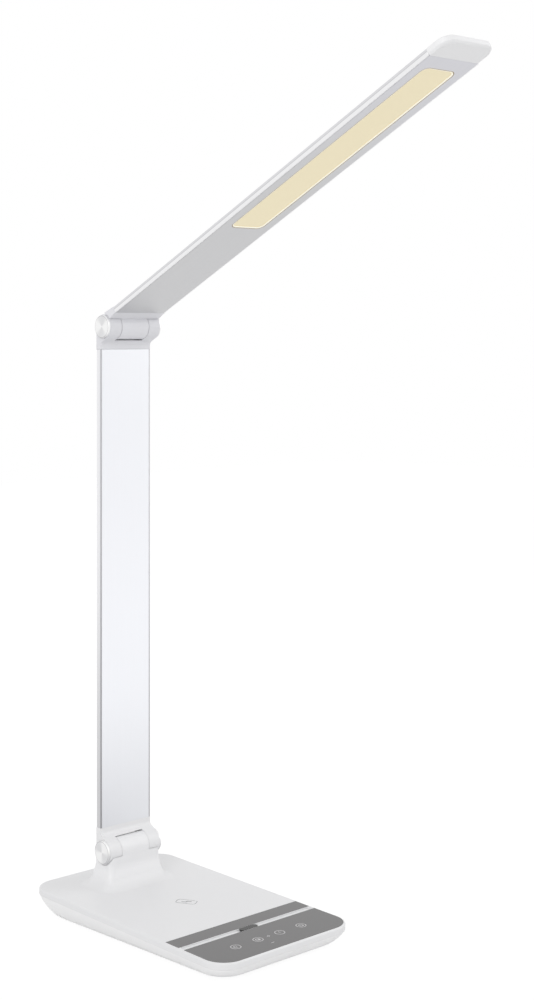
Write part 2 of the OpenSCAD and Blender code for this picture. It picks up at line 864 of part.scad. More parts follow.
module head_section() {
    corner = [-scoop_r * cos(head_shoulder), scoop_r * sin(head_shoulder)];
    polygon([
        [0, 0],
        corner,
        [-head_joint + 2.5, head_set - 0.1],
        [-head_joint, head_set],
        [-head_joint, head_top],
        [-0.6, barrel_r - 0.02]
    ]);
}

module head_knuckle() color("gainsboro") at_head() difference() {
    union() {
        bar(barrel_r, -knuckle_w / 2, knuckle_w / 2);
        difference() {
            across(blade_w) head_section();
            both_sides() {
                bar(scoop_r, scoop_x, blade_w);
                translate([scoop_x, -5, -20]) cube([blade_w, 20, 40]);
            }
            // Between knuckle and ears only the barrel itself turns
            translate([-blade_w, -3, -20]) cube([2 * blade_w, 20, 40]);
        }
        translate([-tang_half, -head_joint - tang_l, head_bed + clear])
            cube([2 * tang_half, tang_l + 1, head_inside - head_bed - 2 * clear]);
    }
    bush_seats();
    // Way for the lead, from the axle's bore to the head's inside
    translate([-wire_w / 2, -head_joint - tang_l - 1, head_bed])
        cube([wire_w, tang_l + head_joint + 1, head_inside - head_bed]);
    at_head_screws() tang_screw_hole();
}

module at_head_screws() {
    both_sides() translate([tang_screw_x, -head_joint - tang_screw_s, head_bed]) children();
}

module head_profile() color("white") at_head() difference() {
    union() {
        head_run(head_joint, tip_s) channel_section(head_set + rebate, head_bed, head_inside, head_top);
        // Ribs that carry the light strips, clear of the tangs at both ends
        head_run(head_joint + tang_l + 2, tip_s - tip_tang_l - 2)
            both_sides() translate([guide_half + chip_t + strip_t + 3 * clear, head_bed + 1])
                square([rib_t, head_inside - head_bed - 0.9]);
    }
    at_head_screws() cylinder(r = tang_screw_r + 0.05, h = head_top - head_bed - skin);
}

// A section in the head's (x, height) plane run along the head between two distances from its axis
module head_run(s0, s1) {
    translate([0, -s0, 0]) rotate([90, 0, 0]) linear_extrude(s1 - s0) children();
}

module light_plan(grow) {
    translate([0, -light_start - light_l / 2])
        round_rect(light_w + 2 * grow, light_l + 2 * grow, light_r + grow);
}

module head_cover() color("lightgray") at_head() difference() {
    translate([-cover_half, -tip_s, head_set]) cube([2 * cover_half, tip_s - head_joint, head_cover_t]);
    translate([0, 0, head_set - 1]) linear_extrude(head_cover_t + 2) light_plan(0);
}

module diffuser() color("moccasin") at_head() {
    translate([0, 0, head_set + lens_deep])
        linear_extrude(head_bed - head_set - lens_deep) light_plan(-clear);
    translate([0, 0, head_bed]) linear_extrude(lens_flange_t) light_plan(lens_lip);
}

module light_guide() color("ivory") at_head()
    translate([-guide_half, -guide_start - guide_l, guide_low])
        cube([2 * guide_half, guide_l, guide_top - guide_low]);

module reflector() color("white") at_head()
    translate([-guide_half, -guide_start - guide_l, guide_top])
        cube([2 * guide_half, guide_l, reflector_t]);

module led_strips() color("white") at_head()
    both_sides() translate([guide_half + chip_t + 2 * clear, -guide_start - guide_l, head_bed + clear])
        cube([strip_t, guide_l, head_inside - head_bed - 2 * clear]);

module led_chips() color("khaki") at_head()
    for (s = [guide_start + 6:chip_pitch:guide_start + guide_l - 6])
        both_sides() translate([guide_half + clear, -s - chip_l / 2, guide_low + clear])
            cube([chip_t + clear, chip_l, guide_top - guide_low - 2 * clear]);

module head_screws() color("silver") at_head() at_head_screws() tang_screw(head_top - head_bed - skin);

module head_end_cap() color("gainsboro") at_head() {
    intersection() {
        hull() {
            tip_layer(tip_edge, head_set, 1);
            tip_layer(0, head_set + tip_edge, head_t - tip_edge - tip_crest);
            tip_layer(tip_crest, head_top - 1, 1);
        }
        translate([-blade_w / 2, -head_reach, head_set]) cube([blade_w, tip_l, head_t]);
    }
    translate([-tang_half, -tip_s - 1, head_bed + clear])
        cube([2 * tang_half, tip_tang_l + 1, head_inside - head_bed - 2 * clear]);
}

// One layer of the tip: square at the seam, round at the far corners
module tip_layer(shrink, z, h) {
    both_sides() translate([blade_w / 2 - tip_r, -head_reach + tip_r, z])
        cylinder(r = tip_r - shrink, h = h, $fn = hull_fn);
    translate([-blade_w / 2 + shrink, -tip_s - 1, z]) cube([blade_w - 2 * shrink, 2, h]);
}

leaned() base_top_shell();
base_bottom_shell();
counterweight();
rubber_pad();
leaned() base_screws();
leaned() touch_panel();
leaned() rear_trim_strip();
leaned() status_window();
leaned() touch_board();
leaned() touch_springs();
leaned() charging_coil();
leaned() coil_ferrite();
power_board();
board_components();
dc_inlet();
leaned() lower_bushes();
leaned() arm_profile();
leaned() arm_cover();
leaned() arm_wire();
leaned() lower_fork();
leaned() upper_fork();
leaned() fork_screws();
leaned() lower_axle();
leaned() upper_axle();
leaned() lower_washers();
leaned() upper_washers();
leaned() lower_lock_nut();
leaned() upper_lock_nut();
leaned() lower_cap_left();
leaned() lower_cap_right();
leaned() upper_cap_left();
leaned() upper_cap_right();
leaned() upper_bushes();
leaned() head_knuckle();
leaned() head_profile();
leaned() head_cover();
leaned() diffuser();
leaned() light_guide();
leaned() reflector();
leaned() led_strips();
leaned() led_chips();
leaned() head_screws();
leaned() head_end_cap();
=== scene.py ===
"""Folding desk lamp: an upright blade arm and a slim light head on a flat charging base.

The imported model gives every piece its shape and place. This script dresses those pieces, prints the
marks on the base and models the soft forms that the solids leave plain. Metres throughout, +Z up,
and -Y is the lamp's front.
"""

import json
import logging
import math
from contextlib import contextmanager
from dataclasses import dataclass, field
from enum import Enum
from typing import Callable, Iterator

import bmesh
import bpy
from mathutils import Euler, Matrix, Vector


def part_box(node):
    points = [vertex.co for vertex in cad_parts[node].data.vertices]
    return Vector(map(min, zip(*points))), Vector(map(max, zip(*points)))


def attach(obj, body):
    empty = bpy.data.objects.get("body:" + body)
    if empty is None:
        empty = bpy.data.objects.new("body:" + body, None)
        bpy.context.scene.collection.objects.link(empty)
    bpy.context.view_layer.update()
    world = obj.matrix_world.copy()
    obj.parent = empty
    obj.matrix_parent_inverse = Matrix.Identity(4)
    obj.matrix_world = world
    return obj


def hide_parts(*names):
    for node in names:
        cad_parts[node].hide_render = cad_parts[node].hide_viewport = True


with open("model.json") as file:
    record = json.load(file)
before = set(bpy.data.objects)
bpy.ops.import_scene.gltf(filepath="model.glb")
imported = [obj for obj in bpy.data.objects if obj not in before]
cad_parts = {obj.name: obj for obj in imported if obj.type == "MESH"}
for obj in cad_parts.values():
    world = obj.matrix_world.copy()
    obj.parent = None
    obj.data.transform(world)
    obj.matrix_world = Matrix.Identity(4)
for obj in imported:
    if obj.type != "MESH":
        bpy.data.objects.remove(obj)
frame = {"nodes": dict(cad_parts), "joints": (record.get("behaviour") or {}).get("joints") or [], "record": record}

log = logging.getLogger("desk_lamp")

MM = 0.001

ARM_FRONT = 2.9 * MM  # from the upper hinge's axis back to the arm's front
FORK_FOOT = 15.0 * MM  # from the upper hinge's axis down to the upper fork's end
UNDERSIDE = 2.6 * MM  # from the upper hinge's axis up to the head's underside, with the head level
MARKS_AHEAD = 19.1 * MM  # from the status window's middle forward to the row of touch marks

FLAT_NORMAL = 0.9  # least part of a unit direction along an axis for it to count as that axis
DOUBLES = 0.001 * MM

Piece = bpy.types.Object
Socket = bpy.types.NodeSocket
Colour = tuple[float, float, float]
Test = Callable[[Vector, Vector], bool]


# ------------------------------------------------------------------ modelling helpers


def activate(piece: Piece) -> None:
    """Makes a piece the only selected object, and the active one.

    Args:
        piece: The object to work on.
    """
    for other in bpy.context.selected_objects:
        other.select_set(False)
    piece.select_set(True)
    bpy.context.view_layer.objects.active = piece


def new_piece(name: str) -> Piece:
    """Names the primitive that was just added, and puts its place into its mesh.

    Args:
        name: The piece's name.

    Returns:
        The named object, at the origin.
    """
    piece = bpy.context.active_object
    piece.name = name
    piece.data.name = name
    activate(piece)
    bpy.ops.object.transform_apply(location=True, rotation=True, scale=True)
    return piece


def settle(piece: Piece, place: Vector, turn: float) -> Piece:
    """Turns a piece about the X axis, moves it, and puts its place into its mesh.

    Args:
        piece: The piece, drawn round the origin.
        place: Where the origin goes.
        turn: Angle about X in radians.

    Returns:
        The same piece.
    """
    piece.rotation_euler.x = turn
    piece.location = place
    activate(piece)
    bpy.ops.object.transform_apply(location=True, rotation=True, scale=True)
    return piece


def smooth_copy(node: str, name: str, smooth_deg: float) -> Piece:
    """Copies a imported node's mesh, joins its loose triangles and smooths its facets.

    Args:
        node: The node to copy.
        name: The new piece's name.
        smooth_deg: Edges flatter than this are shaded smooth.

    Returns:
        The new piece.
    """
    piece = bpy.data.objects.new(name, frame["nodes"][node].data.copy())
    bpy.context.collection.objects.link(piece)
    tidy_mesh(piece, smooth_deg)
    return piece


@contextmanager
def editing(piece: Piece) -> Iterator[None]:
    """Opens a piece in edit mode with nothing selected, and closes it afterwards.

    Args:
        piece: The object to edit.

    Yields:
        Nothing.
    """
    activate(piece)
    bpy.ops.object.mode_set(mode="EDIT")
    bpy.ops.mesh.select_mode(type="VERT")
    bpy.ops.mesh.select_all(action="DESELECT")
    yield
    bpy.ops.object.mode_set(mode="OBJECT")


def select_faces(piece: Piece, test: Test) -> None:
    """Selects the faces whose centre and normal pass a test, in edit mode.

    Args:
        piece: The object in edit mode.
        test: Takes a face's centre and normal.
    """
    bpy.ops.mesh.select_mode(type="FACE")
    mesh = bmesh.from_edit_mesh(piece.data)
    for face in mesh.faces:
        face.select_set(test(face.calc_center_median(), face.normal))
    bmesh.update_edit_mesh(piece.data)


def select_edges(piece: Piece, test: Test) -> None:
    """Selects the edges whose middle and direction pass a test, in edit mode.

    Args:
        piece: The object in edit mode.
        test: Takes an edge's middle and its unit direction.
    """
    bpy.ops.mesh.select_mode(type="EDGE")
    mesh = bmesh.from_edit_mesh(piece.data)
    for edge in mesh.edges:
        first, second = (vert.co for vert in edge.verts)
        edge.select_set(test((first + second) / 2, (second - first).normalized()))
    bmesh.update_edit_mesh(piece.data)


def tidy_mesh(piece: Piece, smooth_deg: float = 30.0) -> None:
    """Merges doubles, turns the faces outwards and smooths the shallow edges.

    Args:
        piece: The object to finish.
        smooth_deg: Edges flatter than this are shaded smooth.
    """
    with editing(piece):
        bpy.ops.mesh.select_all(action="SELECT")
        bpy.ops.mesh.remove_doubles(threshold=DOUBLES)
        bpy.ops.mesh.normals_make_consistent(inside=False)
    activate(piece)
    bpy.ops.object.shade_smooth_by_angle(angle=math.radians(smooth_deg))


# ------------------------------------------------------------------ materials


BROAD_SCALE = 9.0  # clouds of slow change in a metre
DRAWN_STRETCH = 0.02  # how far drawn marks are stretched along Y
# A turned disc's light and dark wedges are a painted sheen, and its thin dark ring is painted shade.
SHEEN_EDGES = (-0.9, 0.7)  # where the painted sheen's wedges on a turned disc are fully dark and fully light
SHADE_RING_EDGES = (0.1 * MM, 0.25 * MM)  # half width of the painted shade ring, and where its soft edge ends
SHADE_RING_DEPTH = 0.5  # how much of the painted shade ring's colour shows
SHADE_RING_COLOUR = (0.25, 0.25, 0.26)


class Graph:
    """A node tree that is emptied and then written from left to right."""

    def __init__(self, tree: bpy.types.NodeTree) -> None:
        """Takes a tree over and empties it."""
        tree.nodes.clear()
        self.tree = tree

    def add(self, kind: str, inputs: dict | None = None, **settings: object) -> bpy.types.Node:
        """Adds a node, sets its properties, and sets or joins its inputs.

        Args:
            kind: The node's type without the ShaderNode in front.
            inputs: Values or source sockets, by the input's name or number.
            settings: The node's own properties.

        Returns:
            The new node.
        """
        node = self.tree.nodes.new("ShaderNode" + kind)
        for name, value in settings.items():
            setattr(node, name, value)
        for key, value in (inputs or {}).items():
            if isinstance(value, Socket):
                self.tree.links.new(value, node.inputs[key])
            else:
                node.inputs[key].default_value = value
        return node

    def math(self, operation: str, first: object, second: object = 0.0) -> Socket:
        """Adds a maths node.

        Args:
            operation: Blender's name for the operation.
            first: A value or a socket.
            second: A value or a socket.

        Returns:
            The result's socket.
        """
        return self.add("Math", {0: first, 1: second}, operation=operation).outputs[0]

    def mix(self, share: object, first: object, second: object, blend_type: str = "MIX") -> Socket:
        """Mixes two colours.

        Args:
            share: How much of the second, a value or a socket.
            first: The colour at 0.
            second: The colour at 1.
            blend_type: Blender's name for the way they are mixed.

        Returns:
            The mixed colour's socket.
        """
        return self.add("Mix", {0: share, 6: first, 7: second},
                        data_type="RGBA", blend_type=blend_type).outputs[2]

    def remap(self, value: object, start: float, end: float, low: float = 0.0, high: float = 1.0,
              interpolation_type: str = "LINEAR") -> Socket:
        """Maps one range of values onto another, and holds the values outside it.

        Args:
            value: A value or a socket.
            start: The value that gives low.
            end: The value that gives high.
            low: The result at the start.
            high: The result at the end.
            interpolation_type: Blender's name for the curve between them.

        Returns:
            The result's socket.
        """
        return self.add("MapRange", {
            "Value": value, "From Min": start, "From Max": end, "To Min": low, "To Max": high,
        }, interpolation_type=interpolation_type).outputs[0]

    def around_x(self, place: Socket) -> tuple[Socket, ...]:
        """Splits a place into Y, Z and its distance from the X axis.

        Args:
            place: The place's socket.

        Returns:
            The three results' sockets.
        """
        _, y, z = self.add("SeparateXYZ", {0: place}).outputs
        squares = self.math("ADD", self.math("MULTIPLY", y, y), self.math("MULTIPLY", z, z))
        return y, z, self.math("SQRT", squares)


def rgba(colour: Colour) -> tuple[float, float, float, float]:
    """Gives a colour full opacity."""
    return (*colour, 1.0)


def grey(level: float) -> Colour:
    """Gives an even grey."""
    return (level,) * 3


class Pattern(Enum):
    """How a surface was made, which decides the direction of its finest marks."""

    MOULDED = "moulded"
    DRAWN = "drawn"
    SPUN = "spun"


class Groups:
    """The node groups that several materials share, each built once."""

    made: dict[str, bpy.types.NodeTree] = {}

    @classmethod
    def start(cls, name: str, inputs: dict[str, str], outputs: dict[str, str]) -> Graph:
        """Starts a group and gives it its sockets.

        Args:
            name: The group's name.
            inputs: The type of each input, by its name.
            outputs: The type of each output, by its name.

        Returns:
            The group's empty graph.
        """
        tree = bpy.data.node_groups.new(name, "ShaderNodeTree")
        cls.made[name] = tree
        for side, sockets in (("INPUT", inputs), ("OUTPUT", outputs)):
            for label, kind in sockets.items():
                tree.interface.new_socket(label, in_out=side, socket_type=f"NodeSocket{kind}")
        return Graph(tree)

    @staticmethod
    def end(graph: Graph, results: dict[str, Socket]) -> bpy.types.NodeTree:
        """Joins a group's results to its outputs.

        Args:
            graph: The group's graph.
            results: The socket of each result, by the output's name.

        Returns:
            The finished group.
        """
        target = graph.tree.nodes.new("NodeGroupOutput")
        for label, socket in results.items():
            graph.tree.links.new(socket, target.inputs[label])
        return graph.tree

    @classmethod
    def grain(cls, pattern: Pattern) -> bpy.types.NodeTree:
        """Makes the fine surface marks: a shift of colour, a spread of roughness and a height.

        Args:
            pattern: How the surface was made.

        Returns:
            The node group, with outputs Colour, Roughness and Height.
        """
        name = f"{pattern.value}_grain"
        if name in cls.made:
            return cls.made[name]
        graph = cls.start(name, {
            "Colour": "Color",
            "Tint": "Color",
            "Coordinates": "Vector",
            "Scale": "Float",
            "Roughness": "Float",
            "Spread": "Float",
        }, {"Colour": "Color", "Roughness": "Float", "Height": "Float"})
        source = graph.tree.nodes.new("NodeGroupInput").outputs
        place = cls._place(graph, source["Coordinates"], pattern)
        fine = graph.add("TexNoise", {"Vector": place, "Scale": source["Scale"], "Detail": 4.0})
        broad = graph.add("TexNoise", {
            "Vector": source["Coordinates"], "Scale": BROAD_SCALE, "Detail": 2.0,
        })
        height = fine.outputs[0]
        wave = graph.math("ADD", graph.math("MULTIPLY", height, 0.5),
                          graph.math("MULTIPLY", broad.outputs[0], 0.5))
        swing = graph.math("SUBTRACT", height, 0.5)
        rough = graph.math("ADD", source["Roughness"],
                           graph.math("MULTIPLY", swing, source["Spread"]))
        colour = graph.mix(wave, source["Colour"], source["Tint"])
        return cls.end(graph, {"Colour": colour, "Roughness": rough, "Height": height})

    @classmethod
    def painted_disc_sheen_and_shade(cls) -> bpy.types.NodeTree:
        """Paints a turned disc's sheen as light and dark wedges, and a shade ring near its rim.

        Returns:
            The node group, with output Colour.
        """
        name = "painted_disc_sheen_and_shade"
        if name in cls.made:
            return cls.made[name]
        graph = cls.start(name, {
            "Colour": "Color",
            "Shade": "Color",
            "Coordinates": "Vector",
            "Bright": "Float",
            "Shade Ring": "Float",
        }, {"Colour": "Color"})
        source = graph.tree.nodes.new("NodeGroupInput").outputs
        y, z, radius = graph.around_x(source["Coordinates"])
        angle = graph.math("SUBTRACT", graph.math("ARCTAN2", z, y), source["Bright"])
        sheen_wave = graph.math("COSINE", graph.math("MULTIPLY", angle, 2.0))
        dark = graph.remap(sheen_wave, *SHEEN_EDGES, 1.0, 0.0, "SMOOTHSTEP")
        face = graph.mix(dark, source["Colour"], source["Shade"])
        away = graph.math("ABSOLUTE", graph.math("SUBTRACT", radius, source["Shade Ring"]))
        shade_ring = graph.remap(away, *SHADE_RING_EDGES, SHADE_RING_DEPTH, 0.0)
        return cls.end(graph, {"Colour": graph.mix(shade_ring, face, rgba(SHADE_RING_COLOUR))})

    @staticmethod
    def _place(graph: Graph, place: Socket, pattern: Pattern) -> Socket:
        """Bends the coordinates so that noise runs the way the marks run.

        Args:
            graph: The group's graph.
            place: The coordinates' socket.
            pattern: How the surface was made.

        Returns:
            The socket that the fine noise reads.
        """
        if pattern is Pattern.DRAWN:
            stretch = (1.0, DRAWN_STRETCH, 1.0)
            return graph.add("Mapping", {"Vector": place, "Scale": stretch}).outputs[0]
        if pattern is Pattern.SPUN:
            *_, radius = graph.around_x(place)
            return graph.add("CombineXYZ", {0: radius}).outputs[0]
        return place


@dataclass(frozen=True)
class PaintedLight:
    """Painted light or shade along a piece, slow, or sharp where it ends in a line.

    Attributes:
        axis: Direction of the change.
        start: Distance along it, in metres, where the change begins.
        end: Distance where it is complete.
        colour: The colour that is multiplied in at the end.
    """

    axis: tuple[float, float, float]
    start: float
    end: float
    colour: Colour


@dataclass(frozen=True)
class Finish:
    """One surface finish, from its colour to its finest marks.

    Attributes:
        name: The material's name.
        colour: Linear base colour.
        roughness: Mean roughness.
        tint: What the grain multiplies the colour by at its darkest.
        metallic: 1 for bare metal, 0 for plastics and paint.
        spread: How much the roughness varies.
        pattern: How the surface was made.
        scale: Size of the finest marks, as noise cells a metre.
        bump: Height of the finest marks in metres.
        edge: Radius of softened edges in metres.
        coat: Weight of a clear coat.
        level: Share of reflection off the surface of a plastic.
        anisotropic: How far a metal's highlight is stretched across its marks.
        glow: Strength of its own light in its own colour; a painted highlight on the bezel.
        turn: Angles that bring the drawn direction onto Y, in degrees.
        centre: Point that the marks run round, in metres.
        painted_light: Painted light and shade along a piece, slow or in lines.
        shade: Colour of the dark wedges of a turned disc's painted sheen, None for other pieces.
        bright: Direction of the sheen's bright wedges in the (y, z) plane, in degrees.
        shade_ring: Radius of its painted shade ring in metres.
    """

    name: str
    colour: Colour
    roughness: float
    tint: float = 0.96
    metallic: float = 0.0
    spread: float = 0.06
    pattern: Pattern = Pattern.MOULDED
    scale: float = 900.0
    bump: float = 0.004 * MM
    edge: float = 0.3 * MM
    coat: float = 0.0
    level: float = 0.5
    anisotropic: float = 0.0
    glow: float = 0.0
    turn: tuple[float, float, float] = (0.0, 0.0, 0.0)
    centre: tuple[float, float, float] = (0.0, 0.0, 0.0)
    painted_light: tuple[PaintedLight, ...] = ()
    shade: Colour | None = None
    bright: float = 0.0
    shade_ring: float = 7.1 * MM

    def material(self) -> bpy.types.Material:
        """Builds the finish as a material.

        Returns:
            The material.
        """
        made = bpy.data.materials.new(self.name)
        made.use_nodes = True
        graph = Graph(made.node_tree)
        place = graph.add("TexCoord").outputs["Object"]
        # The mapping first carries the centre to the origin, and then turns the marks
        moved = graph.add("Mapping", {
            "Vector": place, "Location": tuple(-c for c in self.centre),
        }).outputs[0]
        turned = graph.add("Mapping", {
            "Vector": moved, "Rotation": tuple(math.radians(a) for a in self.turn),
        }).outputs[0]
        grain = graph.add("Group", {
            "Colour": rgba(self.colour),
            "Tint": rgba(tuple(self.tint * c for c in self.colour)),
            "Coordinates": turned,
            "Scale": self.scale,
            "Roughness": self.roughness,
            "Spread": self.spread,
        }, node_tree=Groups.grain(self.pattern)).outputs
        colour = self._shaded(graph, place, moved, grain["Colour"])
        soft = graph.add("Bevel", {"Radius": self.edge}, samples=6)
        relief = graph.add("Bump", {
            "Strength": 1.0,
            "Distance": self.bump,
            "Height": grain["Height"],
            "Normal": soft.outputs[0],
        })
        sockets = {
            "Base Color": colour,
            "Roughness": grain["Roughness"],
            "Metallic": self.metallic,
            "Normal": relief.outputs[0],
            "Coat Weight": self.coat,
            "Specular IOR Level": self.level,
            "Anisotropic": self.anisotropic,
        }
        if self.glow:
            sockets |= {"Emission Color": colour, "Emission Strength": self.glow}
        if self.anisotropic:
            tangent = graph.add("Tangent", direction_type="RADIAL", axis="X")
            sockets["Tangent"] = tangent.outputs[0]
        shader = graph.add("BsdfPrincipled", sockets)
        graph.add("OutputMaterial", {"Surface": shader.outputs[0]})
        made.diffuse_color = rgba(self.colour)
        return made

    def _shaded(self, graph: Graph, place: Socket, moved: Socket,
                colour: Socket) -> Socket:
        """Adds a disc's painted sheen and shade ring, and painted light and shade along the piece.

        Args:
            graph: The material's graph.
            place: Object coordinates.
            moved: The same, from the disc's centre.
            colour: The colour so far.

        Returns:
            The final colour's socket.
        """
        if self.shade:
            colour = graph.add("Group", {
                "Colour": colour,
                "Shade": rgba(self.shade),
                "Coordinates": moved,
                "Bright": math.radians(self.bright),
                "Shade Ring": self.shade_ring,
            }, node_tree=Groups.painted_disc_sheen_and_shade()).outputs["Colour"]
        for painted in self.painted_light:
            along = graph.add("VectorMath", {0: place, 1: painted.axis}, operation="DOT_PRODUCT")
            share = graph.remap(along.outputs["Value"], painted.start, painted.end,
                                 interpolation_type="SMOOTHSTEP")
            colour = graph.mix(share, colour, rgba(painted.colour), "MULTIPLY")
        return colour


# ------------------------------------------------------------------ the lamp's own sizes


@dataclass(frozen=True)
class Layout:
    """Places that several assemblies share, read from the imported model.

    Attributes:
        surface: The middle of the flat top, where a phone is charged.
        lean: Slope of the flat top down towards the front, in radians.
        marks: Distance along the top from its middle back to the row of touch marks.
        lower: A point on the lower hinge's axis.
        upper: A point on the upper hinge's axis.
        pitch: Angle of the head above the square of the arm, in radians.
    """

    surface: Vector
    lean: float
    marks: float
    lower: Vector
    upper: Vector
    pitch: float = math.radians(26.0)

    @property
    def up(self) -> tuple[float, float, float]:
        """Direction square to the flat top, which the arm stands in."""
        return (0.0, -math.sin(self.lean), math.cos(self.lean))

    @property
    def back(self) -> tuple[float, float, float]:
        """Direction along the flat top, from the front to the rear."""
        return (0.0, math.cos(self.lean), math.sin(self.lean))

    @classmethod
    def from_frame(cls) -> "Layout":
        """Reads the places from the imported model.

        Returns:
            The layout.
        """
        mounts = {mount["name"]: mount for mount in frame["record"]["mounts"]}
        joints = {joint["name"]: Vector(joint["pos_m"]) for joint in frame["joints"]}
        surface = Vector(mounts["charging_surface"]["pos_m"])
        _, up_y, up_z = mounts["charging_surface"]["axis"]
        low, high = (Vector(corner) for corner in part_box("status_window"))
        window = ((low + high) / 2 - surface).dot(Vector((0.0, up_z, -up_y)))
        return cls(
            surface=surface,
            lean=math.atan2(-up_y, up_z),
            marks=window - MARKS_AHEAD,
            lower=joints["lower_hinge"],
            upper=joints["upper_hinge"],
        )

    def onto_top(self, piece: Piece) -> Piece:
        """Moves a piece that was drawn level round the origin onto the leaning top.

        Args:
            piece: The piece.

        Returns:
            The same piece, with its place in its mesh.
        """
        return settle(piece, self.surface, self.lean)

    def onto_head(self, piece: Piece) -> Piece:
        """Moves a piece that was drawn with the head level, its axis on X, into the head's pose.

        Args:
            piece: The piece.

        Returns:
            The same piece, with its place in its mesh.
        """
        return settle(piece, self.upper, self.lean - self.pitch)


# ------------------------------------------------------------------ prints


@dataclass
class PrintedMark:
    """A flat print that is drawn with arcs, bars and dots, and then joined to one mesh.

    Attributes:
        name: The piece's name.
        centre: Its middle, on the printed surface.
        ink: Thickness of the ink.
        parts: What has been drawn so far.
    """

    name: str
    centre: Vector
    ink: float = 0.03 * MM
    parts: list[Piece] = field(default_factory=list)

    def arc(self, radius: float, width: float, start: float = 0.0, end: float = 360.0,
            at: tuple[float, float] = (0.0, 0.0)) -> None:
        """Draws a ring, or the part of one between two angles.

        Args:
            radius: Radius of the line's middle.
            width: Width of the line.
            start: First angle in degrees, from +X towards +Y.
            end: Last angle in degrees.
            at: Offset from the mark's centre.
        """
        middle = self.centre + Vector((*at, 0.0))
        outer = radius + width / 2
        bpy.ops.mesh.primitive_circle_add(
            vertices=72, radius=outer, fill_type="NOTHING", location=middle)
        part = new_piece(f"{self.name}_arc")
        with editing(part):
            bpy.ops.mesh.select_all(action="SELECT")
            bpy.ops.mesh.extrude_region_move()
            shrink = (radius - width / 2) / outer
            bpy.ops.transform.resize(value=(shrink, shrink, 1.0), center_override=middle)
            if end - start < 360.0:
                select_faces(part, lambda c, n: not start <= math.degrees(
                    math.atan2(c.y - middle.y, c.x - middle.x)) % 360.0 <= end)
                bpy.ops.mesh.delete(type="FACE")
            self._thicken()
        self.parts.append(part)

    def bar(self, length: float, width: float, turn: float = 0.0,
            at: tuple[float, float] = (0.0, 0.0)) -> None:
        """Draws a straight line with rounded ends.

        Args:
            length: Length of the line.
            width: Width of the line.
            turn: Its direction in degrees from +X.
            at: Offset of its middle from the mark's centre.
        """
        middle = self.centre + Vector((*at, 0.0))
        bpy.ops.mesh.primitive_plane_add(
            size=1.0, location=middle, rotation=(0, 0, math.radians(turn)))
        bpy.context.active_object.scale = (length, width, 1.0)
        part = new_piece(f"{self.name}_bar")
        with editing(part):
            bpy.ops.mesh.select_all(action="SELECT")
            bpy.ops.mesh.bevel(offset=width * 0.45, segments=3, affect="VERTICES")
            self._thicken()
        self.parts.append(part)

    def dot(self, radius: float, at: tuple[float, float] = (0.0, 0.0), half: bool = False) -> None:
        """Draws a filled disc, or its right half.

        Args:
            radius: Radius of the disc.
            at: Offset from the mark's centre.
            half: Whether only the +X half is drawn.
        """
        middle = self.centre + Vector((*at, 0.0))
        bpy.ops.mesh.primitive_circle_add(
            vertices=36, radius=radius, fill_type="NGON", location=middle)
        part = new_piece(f"{self.name}_dot")
        with editing(part):
            if half:
                bpy.ops.mesh.select_all(action="SELECT")
                bpy.ops.mesh.bisect(plane_co=middle, plane_no=(1, 0, 0), clear_inner=True)
            self._thicken()
        self.parts.append(part)

    def _thicken(self) -> None:
        """Gives the flat faces of the part in edit mode the thickness of the ink."""
        bpy.ops.mesh.select_all(action="SELECT")
        bpy.ops.mesh.extrude_region_move(TRANSFORM_OT_translate={"value": (0, 0, self.ink)})

    def done(self) -> Piece:
        """Joins what was drawn.

        Returns:
            The mark as one piece.
        """
        activate(self.parts[0])
        for part in self.parts[1:]:
            part.select_set(True)
        if len(self.parts) > 1:
            bpy.ops.object.join()
        mark = bpy.context.active_object
        mark.name = self.name
        mark.data.name = self.name
        tidy_mesh(mark)
        return mark


# ------------------------------------------------------------------ assemblies


@dataclass
class Assembly:
    """A group of pieces that ride on one body.

    Attributes:
        body: The body's name.
        layout: The places that the assemblies share.
        materials: The material of each finish, by its name.
    """

    body: str
    layout: Layout
    materials: dict[str, bpy.types.Material]

    def dress(self, finishes: dict[str, tuple[str, ...]]) -> None:
        """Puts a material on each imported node.

        Args:
            finishes: The nodes that get each material, by its name.
        """
        for finish, nodes in finishes.items():
            for node in nodes:
                shown = frame["nodes"][node]
                shown.data.materials.clear()
                shown.data.materials.append(self.materials[finish])
                log.info("%s: %s", node, finish)

    def place(self, piece: Piece, finish: str, slot: str | None = None,
              instead_of: str | None = None) -> None:
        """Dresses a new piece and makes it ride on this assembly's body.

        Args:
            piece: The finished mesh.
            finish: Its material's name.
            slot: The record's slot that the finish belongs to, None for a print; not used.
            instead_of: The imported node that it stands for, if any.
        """
        piece.data.materials.clear()
        piece.data.materials.append(self.materials[finish])
        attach(piece, self.body)
        if instead_of:
            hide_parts(instead_of)
        log.info("%s: %s, on %s", piece.name, finish, self.body)


